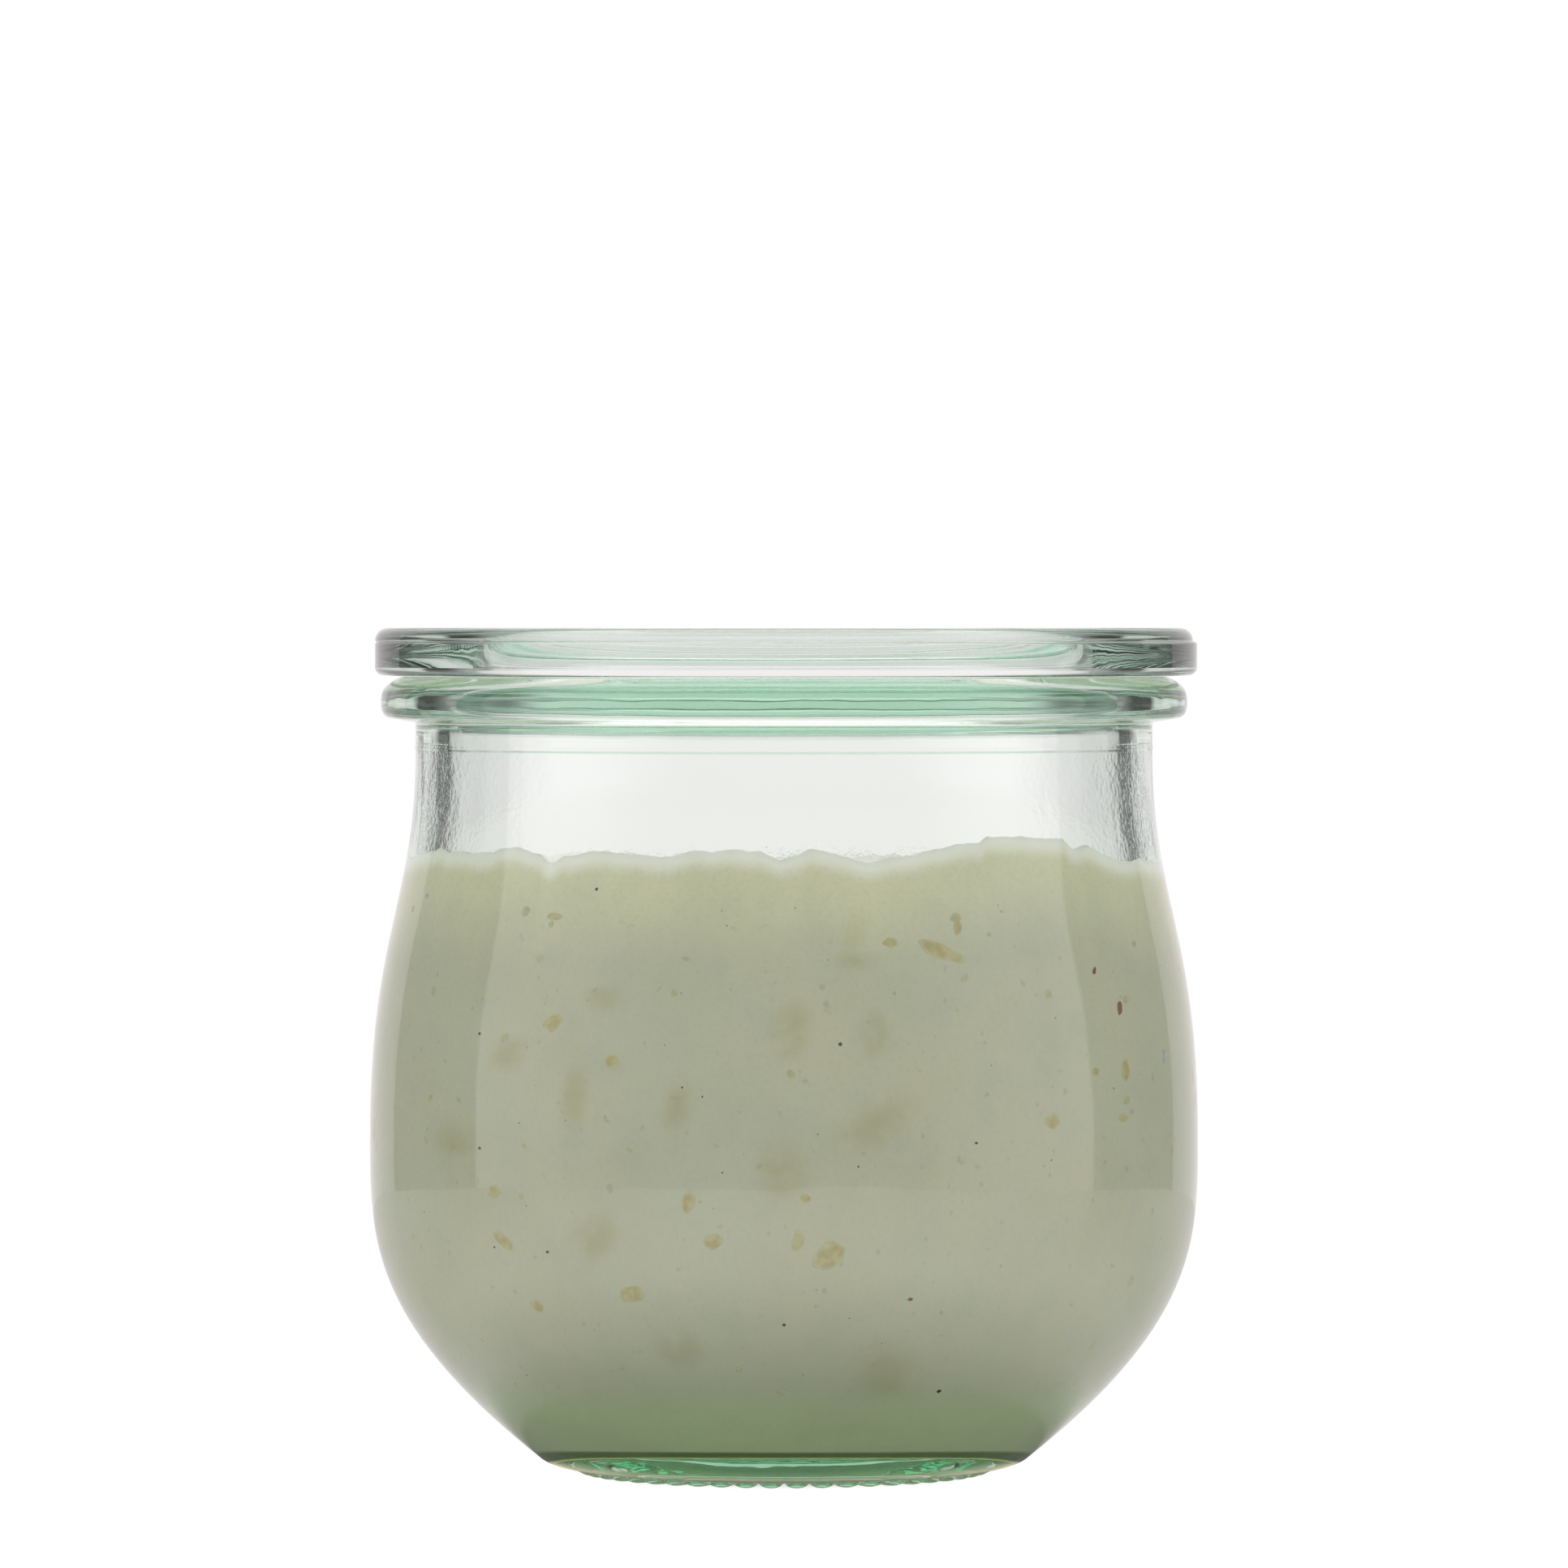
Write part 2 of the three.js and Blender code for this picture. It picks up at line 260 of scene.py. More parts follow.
@dataclass(frozen=True)
class PressedGlass:
    """Clear glass with the faint waves of pressing, whose green tint shows where it is thick."""

    name: str
    index: float = 1.52
    tint: Colour = (0.0, 0.62, 0.28)
    density: float = 17.0
    wave_scale: float = 40.0
    wave_height: float = 0.00018
    grain_scale: float = 300.0
    grain_share: float = 0.05
    speckle: float = 0.0
    speckle_scale: float = 1500.0
    neck_foot: Fade = (0.062, 0.068)
    neck_head: Fade = (0.081, 0.078)
    neck_inside: Fade = (0.0388, 0.0378)
    flange: Colour = WHITE
    flange_side: Fade = (0.043, 0.0435)
    flange_foot: Fade = (0.087, 0.0872)

    def build(self) -> bpy.types.Material:
        """Builds the glass.

        Returns:
            The material.
        """
        made, tree = material(self.name)
        place = tree.place()
        x, y, z = tree.split(place)
        radius = (x * x + y * y) ** 0.5
        outside = radius.over(*self.flange_side) * z.over(*self.flange_foot)
        waves = tree.noise(place, self.wave_scale, 1)
        grain = tree.noise(place, self.grain_scale) * self.grain_share
        neck = z.over(*self.neck_foot) * z.over(*self.neck_head) * radius.over(*self.neck_inside)
        relief = waves + grain + tree.noise(place, self.speckle_scale, 3) * neck * self.speckle
        shader = tree.node("ShaderNodeBsdfPrincipled", None, {
            "Base Color": tree.mix(outside, WHITE, self.flange), "Roughness": 0.0, "IOR": self.index,
            "Transmission Weight": 1.0, "Normal": tree.bump(relief, self.wave_height)})
        inside = tree.node("ShaderNodeVolumeAbsorption", None, {
            "Color": (*self.tint, 1), "Density": self.density})
        tree.node("ShaderNodeOutputMaterial", None, {
            "Surface": shader.outputs[0], "Volume": inside.outputs[0]})
        return made


@dataclass(frozen=True)
class Clouds:
    """Clouds in a finish: their scale per metre, their detail, where they start and are full, and a share."""

    scale: float
    detail: float
    start: float
    full: float
    share: float = 1.0
    roughness: float = 0.5

    def mask(self, tree: Tree, place: Wired) -> Wired:
        """How strongly the clouds show at a place."""
        cloud = tree.noise(place, self.scale, self.detail, self.roughness)
        return cloud.over(self.start, self.full) * self.share


@dataclass(frozen=True)
class SpreadFinish:
    """The pale spread: cloudy and blotched, with painted shade and green light low down, and painted light
    and glow at its top, where light enters it.
    """

    name: str = "spread"
    pale: Colour = (0.69, 0.69, 0.52)
    warm: Colour = (0.71, 0.685, 0.50)
    cool: Colour = (0.63, 0.655, 0.51)
    blotch: Colour = (0.58, 0.55, 0.32)
    grain: Colour = (0.36, 0.34, 0.26)
    dull_and_shade: Colour = (0.44, 0.46, 0.33)
    low: Colour = (0.60, 0.71, 0.41)
    foot: Colour = (0.12, 0.2, 0.05)
    rise: Colour = (0.95, 0.92, 0.63)
    top: Colour = (0.95, 0.95, 0.88)
    shine: Colour = (1.0, 0.98, 0.85)
    shine_strength: float = 0.19
    roughness: float = 0.38
    index: float = 1.4
    warm_clouds: Clouds = Clouds(60, 3, 0.35, 0.7)
    cool_clouds: Clouds = Clouds(170, 3, 0.5, 0.75, 0.6)
    blotch_clouds: Clouds = Clouds(400, 2, 0.1, 0.6, 0.85)
    grains: Clouds = Clouds(800, 1, 0.7, 0.8, 0.3)
    dull_clouds: Clouds = Clouds(90, 4, 0.4, 0.75, 0.16, 0.6)
    fine_clouds: Clouds = Clouds(2200, 2, 0.45, 0.7, 0.09)
    lit_rise_depth: Fade = (13.0, 0.8)
    lit_edge_depth: Fade = (2.6, 0.1)
    shade_z: Fade = (0.027, 0.013)
    shade_share: float = 0.3
    low_z: Fade = (0.0137, 0.0094)
    shaded_foot_z: Fade = (0.0066, 0.0064)
    glow: Colour = (1.1, 1.4, 0.45)
    glow_z: Fade = (0.0062, 0.00618)
    lit_top_facing: Fade = (0.4, 0.8)
    relief_scale: float = 1400.0
    relief_height: float = 0.00003

    def build(self) -> bpy.types.Material:
        """Builds the spread's finish.

        Returns:
            The material.
        """
        made, tree = material(self.name)
        place = tree.place()
        height = tree.split(place)[2]
        soft = tree.out("ShaderNodeAttribute", "Fac", {"attribute_name": BLOTCHES})
        under = tree.out("ShaderNodeAttribute", "Fac", {"attribute_name": UNDER_EDGE})
        facing = tree.split(tree.out("ShaderNodeNewGeometry", "Normal"))[2]
        edge = under.over(*self.lit_edge_depth)
        body: Any = self.pale
        for share, colour in (
                (self.warm_clouds.mask(tree, place), self.warm),
                (self.cool_clouds.mask(tree, place), self.cool),
                (soft * self.blotch_clouds.mask(tree, place), self.blotch),
                (self.grains.mask(tree, place), self.grain),
                # painted shade: the spread is dulled towards the bottom, where less light reaches it
                (height.over(*self.shade_z) * self.shade_share, self.dull_and_shade),
                # painted light: greener low down, for the light that reaches the bottom through the thick
                # green glass
                (height.over(*self.low_z), self.low),
                # painted shade: a dark band along the spread's lowest edge, where it lies in shadow
                (height.over(*self.shaded_foot_z), self.foot),
                # painted light: paler under the top, for the light that enters there and spreads down
                (under.over(*self.lit_rise_depth), self.rise),
                # painted light: the band just under the top edge is whitened, as lit from above
                (edge, self.top),
                (self.dull_clouds.mask(tree, place), self.dull_and_shade),
                (self.fine_clouds.mask(tree, place), self.dull_and_shade),
                # painted light: faces turned up are whitened, as lit from above
                (facing.over(*self.lit_top_facing), self.top)):
            body = tree.mix(share, body, colour)
        # painted light: by emission the spread glows in shine under its top edge and in glow along its lowest
        # corner, though it is no lamp
        corner_light = height.over(*self.glow_z)
        relief = tree.bump(tree.noise(place, self.relief_scale), self.relief_height)
        shader = tree.node("ShaderNodeBsdfPrincipled", None, {
            "Base Color": body, "Roughness": self.roughness, "IOR": self.index, "Normal": relief,
            "Emission Color": tree.mix(corner_light, tree.mix(edge, (0.0, 0.0, 0.0), self.shine), self.glow),
            "Emission Strength": self.shine_strength})
        tree.node("ShaderNodeOutputMaterial", None, {"Surface": shader.outputs[0]})
        return made


@dataclass(frozen=True)
class BitFinish:
    """One kind of bit in the spread, uneven in its colour and fading into the spread at its rim."""

    name: str
    light: Colour
    dark: Colour
    softness: float = 0.8
    rim: Colour = (0.69, 0.69, 0.52)
    roughness: float = 0.4
    cloud_scale: float = 900.0
    cloud_fade: Fade = (0.35, 0.65)
    relief_height: float = 0.00005

    def build(self) -> bpy.types.Material:
        """Builds the bits' finish.

        Returns:
            The material.
        """
        made, tree = material(self.name)
        clouds = tree.noise(tree.place(), self.cloud_scale, 3)
        core = tree.out("ShaderNodeAttribute", "Fac", {"attribute_name": CORE}).over(0.0, self.softness)
        middle = tree.mix(clouds.over(*self.cloud_fade), self.dark, self.light)
        shader = tree.node("ShaderNodeBsdfPrincipled", None, {
            "Base Color": tree.mix(core, self.rim, middle),
            "Roughness": self.roughness, "Normal": tree.bump(clouds, self.relief_height)})
        tree.node("ShaderNodeOutputMaterial", None, {"Surface": shader.outputs[0]})
        return made


def curve(points: Sequence[Point], steps: int) -> list[Point]:
    """Points along a Bezier curve of any degree.

    Args:
        points: The curve's control points.
        steps: How many stretches it is cut into.

    Returns:
        The points from the first control point to the last.
    """
    made = []
    for i in range(steps + 1):
        t = i / steps
        left = list(points)
        while len(left) > 1:
            left = [((1 - t) * a[0] + t * b[0], (1 - t) * a[1] + t * b[1]) for a, b in zip(left, left[1:])]
        made.append(left[0])
    return made


def corner(centre: Point, radius: float, start: float, end: float, steps: int) -> list[Point]:
    """Points on a round corner.

    Args:
        centre: The arc's centre.
        radius: Its radius.
        start: The angle that it starts at, in degrees.
        end: The angle that it ends at, in degrees.
        steps: How many stretches it is cut into.

    Returns:
        The points in order.
    """
    angles = [math.radians(start + (end - start) * i / steps) for i in range(steps + 1)]
    return [(centre[0] + radius * math.cos(a), centre[1] + radius * math.sin(a)) for a in angles]


def moved_in(points: Sequence[Point], distance: Callable[[float], float]) -> list[Point]:
    """An outline moved inwards, square to itself.

    Args:
        points: The outline, going up.
        distance: How far to move a point, by its share of the way along.

    Returns:
        The moved points.
    """
    made = []
    for i, (radius, height) in enumerate(points):
        before, after = points[max(i - 1, 0)], points[min(i + 1, len(points) - 1)]
        along = Vector((after[0] - before[0], after[1] - before[1])).normalized()
        by = distance(i / (len(points) - 1))
        made.append((radius - along.y * by, height + along.x * by))
    return made


def turned(name: str, outline: Sequence[Point], sides: int, dress: Callable[[Vector], Vector]
           ) -> bpy.types.Object:
    """A closed body turned about the Z axis.

    Args:
        name: The object's name.
        outline: Its outline, in millimetres.
        sides: How many sides it has, a multiple of 2 ** DOUBLINGS.
        dress: Moves a corner, in millimetres, after the turning.

    Returns:
        The new object, with smooth faces.
    """
    shape = bmesh.new()
    corners = [shape.verts.new((radius * MM, 0, height * MM)) for radius, height in outline]
    edges = [shape.edges.new(pair) for pair in zip(corners, corners[1:])]
    if outline[0][0] > 0:
        edges.append(shape.edges.new((corners[-1], corners[0])))
    turn = 2 * math.pi / 2 ** DOUBLINGS
    bmesh.ops.spin(shape, geom=[*corners, *edges], cent=(0, 0, 0), axis=(0, 0, 1), angle=turn,
                   steps=sides // 2 ** DOUBLINGS)
    for _ in range(DOUBLINGS):
        copy = bmesh.ops.duplicate(shape, geom=[*shape.verts, *shape.edges, *shape.faces])
        moved = [item for item in copy["geom"] if isinstance(item, bmesh.types.BMVert)]
        bmesh.ops.rotate(shape, verts=moved, cent=(0, 0, 0), matrix=Matrix.Rotation(turn, 3, "Z"))
        turn *= 2
    bmesh.ops.remove_doubles(shape, verts=shape.verts, dist=WELD)
    for vertex in shape.verts:
        vertex.co = dress(vertex.co / MM) * MM
    bmesh.ops.recalc_face_normals(shape, faces=shape.faces)
    return finished(name, shape)


def ripple(place: Vector, size: float, seed: float) -> float:
    """Even noise, from about -1 to 1.

    Args:
        place: Where it is read, in millimetres.
        size: The width of its hills, in millimetres.
        seed: Which noise it is.

    Returns:
        The noise there.
    """
    return noise.noise(place / size + Vector((0, 0, seed)))


def finished(name: str, shape: bmesh.types.BMesh) -> bpy.types.Object:
    """Turns a bmesh into an object of the scene with smooth faces.

    Args:
        name: The object's name.
        shape: The bmesh, which is freed.

    Returns:
        The new object.
    """
    mesh = bpy.data.meshes.new(name)
    for face in shape.faces:
        face.smooth = True
    shape.to_mesh(mesh)
    shape.free()
    made = bpy.data.objects.new(name, mesh)
    bpy.context.collection.objects.link(made)
    return made


def placed(made: bpy.types.Object, part: Part) -> bpy.types.Object:
    """Puts an object in the place of a part's solid.

    Args:
        made: The object.
        part: The part that it stands for.

    Returns:
        The same object.
    """
    node, slot = part.value
    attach(made, BODY)
    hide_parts(node)
    return made


@dataclass
class Jar:
    """The jar: a wide belly on a tapered foot, a straight neck and a beaded rim."""

    heel_radius: float = 26.7
    heel_z: float = 1.7
    heel_lean: float = 51.4
    heel_reach: float = 24.2
    belly_radius: float = 45.35
    belly_z: float = 37.0
    belly_reach_down: float = 11.1
    belly_reach_up: float = 22.3
    neck_radius: float = 40.35
    neck_z: float = 79.0
    neck_reach: float = 16.5
    wall: float = 3.3
    heel_wall: float = 4.6
    mouth_radius: float = 36.8
    floor_z: float = 6.2
    floor_radius: float = 20.5
    floor_start: float = 0.86
    floor_steps: int = 6
    bend_steps: int = 16
    inner_steps: int = 43
    lower_steps: int = 36
    upper_steps: int = 30
    ring_radius: float = 20.8
    ring_z: float = 0.8
    ring_edge_z: float = 0.65
    ring_half_width: float = 2.1
    ring_steps: int = 14
    heel_inset: float = 1.1
    heel_lift: float = 0.25
    push_up_z: float = 2.85
    push_up_share: float = 0.63
    knurl_count: int = 50
    knurl_length: float = 4.2
    knurl_top_z: float = 1.2
    rim_z: float = 87.2
    rim_radius: float = 41.9
    bead_radius: float = 44.15
    bead_z: float = 84.35
    bead_foot_z: float = 82.2
    bead_inset: float = 0.9
    bead_lift: float = 0.45
    fillet_height: float = 0.3
    fillet_reach: float = 0.5
    shoulder_inset: float = 0.7
    shoulder_drop: float = 0.75
    mouth_edge: float = 0.9
    lip_step: float = 1.1
    seam_z: float = 79.45
    seam_height: float = 0.06
    seam_half_width: float = 0.35
    wave_height: float = 0.03
    wave_size: float = 4.0
    wave_start_z: float = 60.0
    wave_fade: float = 8.0
    fine_wave_size: float = 1.2
    fine_wave_share: float = 0.6
    streak: float = 0.5
    bead_wave: float = 0.03
    bead_wave_size: float = 3.2
    bead_squash: float = 2.0
    sides: int = 400

    def lower_wall(self, steps: int) -> list[Point]:
        """The outer face from the heel up to the belly.

        Args:
            steps: How many stretches it is cut into.

        Returns:
            The face's points, going up.
        """
        lean = math.radians(self.heel_lean)
        reach = self.heel_reach
        return curve([
            (self.heel_radius, self.heel_z),
            (self.heel_radius + reach * math.sin(lean), self.heel_z + reach * math.cos(lean)),
            (self.belly_radius, self.belly_z - self.belly_reach_down),
            (self.belly_radius, self.belly_z)], steps)

    def upper_wall(self, steps: int) -> list[Point]:
        """The outer face from the belly up to the neck.

        Args:
            steps: How many stretches it is cut into.

        Returns:
            The face's points, going up.
        """
        return curve([
            (self.belly_radius, self.belly_z),
            (self.belly_radius, self.belly_z + self.belly_reach_up),
            (self.neck_radius, self.neck_z - self.neck_reach),
            (self.neck_radius, self.neck_z)], steps)

    def inner_face(self, gap: float = 0.0) -> list[Point]:
        """The inner face from the centre of the floor up to the neck.

        Args:
            gap: How much further in the face is moved. Below zero it lies in the glass.

        Returns:
            The face's points, going up.
        """
        steps = self.inner_steps
        lower = self.lower_wall(steps)
        whole = moved_in(lower, lambda t: self.wall + (self.heel_wall - self.wall) * (1 - t) ** 2 + gap)
        first = round((1 - self.floor_start) * steps)
        kept = whole[first:]
        bend, after = kept[0], lower[first + 1]
        before = lower[first - 1]
        floor_z = self.floor_z + gap
        slope = (after[0] - before[0]) / (after[1] - before[1])
        meet = (bend[0] - slope * (bend[1] - floor_z), floor_z)
        floor = curve([(self.floor_radius, floor_z), meet, bend], self.bend_steps)
        neck_wall = self.neck_radius - self.mouth_radius
        upper = moved_in(self.upper_wall(self.upper_steps),
                         lambda t: self.wall + (neck_wall - self.wall) * t + gap)
        middle = [(self.floor_radius * i / self.floor_steps, floor_z) for i in range(self.floor_steps)]
        return [*middle, *floor[:-1], *kept, *upper[1:]]

    def bead(self) -> list[Point]:
        """The bead from the neck round to the edge of the mouth.

        Returns:
            The bead's points, going up and in.
        """
        half = self.rim_z - self.bead_z
        foot = (self.bead_radius - self.bead_inset, self.bead_foot_z + self.bead_lift)
        fillet = curve([
            (self.neck_radius, self.bead_foot_z - self.fillet_height), (self.neck_radius, self.bead_foot_z),
            (self.neck_radius + self.fillet_reach, self.bead_foot_z + 0.03)], 4)
        side = curve([foot, (self.bead_radius, self.bead_foot_z + 0.7), (self.bead_radius, self.bead_z)], 10)
        shoulder = curve([
            (self.bead_radius, self.bead_z), (self.bead_radius, self.bead_z + 0.6 * half),
            (self.bead_radius - self.shoulder_inset, self.rim_z - self.shoulder_drop),
            (self.rim_radius, self.rim_z)], 14)
        mouth = corner((self.mouth_radius + self.mouth_edge, self.rim_z - self.mouth_edge),
                       self.mouth_edge, 90, 180, 8)
        return [*fillet, *side, *shoulder[1:], *mouth]

    def seam(self) -> list[Point]:
        """The low ridge that the mould left on the neck.

        Returns:
            The ridge's points, going up.
        """
        steps = 6
        points = []
        for i in range(steps + 1):
            swell = 0.5 - 0.5 * math.cos(2 * math.pi * i / steps)
            height = self.seam_z + self.seam_half_width * (2 * i / steps - 1)
            points.append((self.neck_radius + self.seam_height * swell, height))
        return points

    def base(self) -> list[Point]:
        """The underside from its centre out to the heel.

        Returns:
            The underside's points, going out.
        """
        inner = self.ring_radius - self.ring_half_width
        outer = self.ring_radius + self.ring_half_width
        hollow = curve([(0, self.push_up_z), (inner * self.push_up_share, self.push_up_z),
                        (inner, self.ring_z)], 10)
        steps = self.ring_steps
        drop = self.ring_edge_z - self.ring_z
        ring = [(inner + (outer - inner) * i / steps, self.ring_z + drop * (i / steps) ** 2)
                for i in range(1, steps)]
        heel = curve([(outer, self.ring_edge_z),
                      (self.heel_radius - self.heel_inset, self.ring_edge_z + self.heel_lift),
                      (self.heel_radius, self.heel_z)], 8)
        return [*hollow, *ring, *heel[:-1]]

    def outline(self) -> list[Point]:
        """The jar's closed outline.

        Returns:
            The outline's points.
        """
        lip = [(self.mouth_radius, self.rim_z - self.mouth_edge - self.lip_step * i) for i in range(1, 6)]
        return [*self.base(), *self.lower_wall(self.lower_steps), *self.upper_wall(self.upper_steps)[1:],
                *self.seam(), *self.bead(), *lip, *reversed(self.inner_face())]

    def dressed(self, place: Vector) -> Vector:
        """Adds the knurls, and the waves that pressing left in the inner face, to a corner of the jar.

        Args:
            place: The corner's place, in millimetres.

        Returns:
            Its new place.
        """
        radius = math.hypot(place.x, place.y)
        if radius < 1e-4:
            return place
        across = abs(radius - self.ring_radius) / (self.knurl_length / 2)
        if place.z < self.knurl_top_z and across < 1:
            share = math.atan2(place.y, place.x) * self.knurl_count / (2 * math.pi)
            aside = 2 * abs(share - round(share))
            rib = math.sqrt(max(0.0, 1 - aside * aside) * (1 - across ** 4))
            return Vector((place.x, place.y, place.z * (1 - rib)))
        if place.z < self.bead_foot_z - 1 and self.is_inside(radius, place.z):
            streak = Vector((place.x, place.y, place.z * self.streak))
            fine = self.fine_wave_share * ripple(streak, self.fine_wave_size, seed=9.0)
            wave = self.wave_height * (ripple(streak, self.wave_size, seed=5.0) + fine)
            share = min(1.0, max(0.0, (place.z - self.wave_start_z) / self.wave_fade))
            return place + Vector((place.x, place.y, 0)) * (wave * share / radius)
        if place.z > self.bead_foot_z + 0.5 and radius > self.neck_radius + 1:
            squashed = Vector((place.x, place.y, place.z * self.bead_squash))
            wave = self.bead_wave * ripple(squashed, self.bead_wave_size, seed=4.4)
            return place + Vector((place.x, place.y, 0)) * (wave / radius)
        return place

    def is_inside(self, radius: float, height: float) -> bool:
        """Whether a corner above the belly is one of the inner face."""
        return height > self.belly_z and radius < self.neck_radius - 1

    def build(self, glass: bpy.types.Material) -> bpy.types.Object:
        """Builds the jar.

        Args:
            glass: The glass material.

        Returns:
            The jar's object.
        """
        made = turned("jar_glass", self.outline(), self.sides, self.dressed)
        made.data.materials.append(glass)
        return placed(made, Part.JAR)


@dataclass
class Lid:
    """The lid: a flange on the rim, a plug in the mouth and a dish on top."""

    seat_z: float = 87.3
    top_z: float = 92.5
    radius: float = 45.0
    upper_radius: float = 44.77
    ledge_z: float = 91.0
    shift_x: float = 0.22
    top_round: float = 1.4
    foot_round: float = 0.9
    plug_radius: float = 36.1
    plug_foot_z: float = 81.2
    plug_round: float = 1.6
    plug_sag: float = 1.0
    dish_radius: float = 34.0
    dish_z: float = 85.2
    dish_round: float = 2.6
    dish_lip_radius: float = 35.6
    wave_height: float = 0.008
    wave_size: float = 11.0
    sides: int = 320

    def outline(self) -> list[Point]:
        """The lid's closed outline.

        Returns:
            The outline's points.
        """
        plug_foot = corner((self.plug_radius - self.plug_round, self.plug_foot_z + self.plug_round),
                           self.plug_round, -90, 0, 12)
        flange_foot = corner((self.radius - self.foot_round, self.seat_z + self.foot_round),
                             self.foot_round, -90, 0, 10)
        top_edge = corner((self.upper_radius - self.top_round, self.top_z - self.top_round),
                          self.top_round, 0, 90, 12)
        lip = curve([(self.dish_lip_radius, self.top_z), (self.dish_radius + 0.3, self.top_z - 0.2),
                     (self.dish_radius, self.top_z - 1.5)], 12)
        dish_foot = corner((self.dish_radius - self.dish_round, self.dish_z + self.dish_round),
                           self.dish_round, 0, -90, 12)
        sag = curve([(0, self.plug_foot_z - self.plug_sag),
                     (self.plug_radius / 2, self.plug_foot_z - self.plug_sag), plug_foot[0]], 24)
        neck = curve([(self.plug_radius, self.seat_z - 0.5), (self.plug_radius, self.seat_z),
                      (self.plug_radius + 0.5, self.seat_z)], 5)
        ledge = [(self.radius, self.ledge_z - 0.27), (self.radius - 0.01, self.ledge_z - 0.22),
                 (self.upper_radius + 0.02, self.ledge_z), (self.upper_radius, self.ledge_z + 0.05)]
        floor = [(self.dish_radius * i / 20, self.dish_z) for i in range(18, -1, -1)]
        return [*sag[:-1], *plug_foot, *neck, *flange_foot, *ledge, *top_edge, *lip, *dish_foot, *floor]

    def dressed(self, place: Vector) -> Vector:
        """Moves the lower half of the flange to one side, and adds the waves of pressing to the disc.

        Args:
            place: The corner's place, in millimetres.

        Returns:
            Its new place.
        """
        radius = math.hypot(place.x, place.y)
        if radius < self.dish_radius - 1:
            return place + Vector((0, 0, self.wave_height * ripple(place, self.wave_size, seed=2.0)))
        if radius > self.dish_lip_radius and place.z < self.ledge_z + 0.01:
            return place + Vector((self.shift_x, 0, 0))
        return place

    def build(self, glass: bpy.types.Material) -> bpy.types.Object:
        """Builds the lid.

        Args:
            glass: The glass material.

        Returns:
            The lid's object.
        """
        made = turned("lid_glass", self.outline(), self.sides, self.dressed)
        made.data.materials.append(glass)
        return placed(made, Part.LID)


@dataclass(frozen=True)
class Wave:
    """One wave of the spread's uneven top: its length, heading in degrees, height and phase."""

    length: float
    heading: float
    height: float
    phase: float


@dataclass(frozen=True)
class Lump:
    """A lump or hollow of the spread's top: its place, how far it spreads and its height."""

    x: float
    y: float
    spread: float
    height: float


@dataclass(frozen=True)
class Bit:
    """A bit in the spread's face.

    Its bearing goes round from the front to the right and its tilt goes up to the right, both in degrees.
    Its height, half length and half width are in millimetres.
    """

    bearing: float
    height: float
    length: float
    width: float
    tilt: float = 0.0


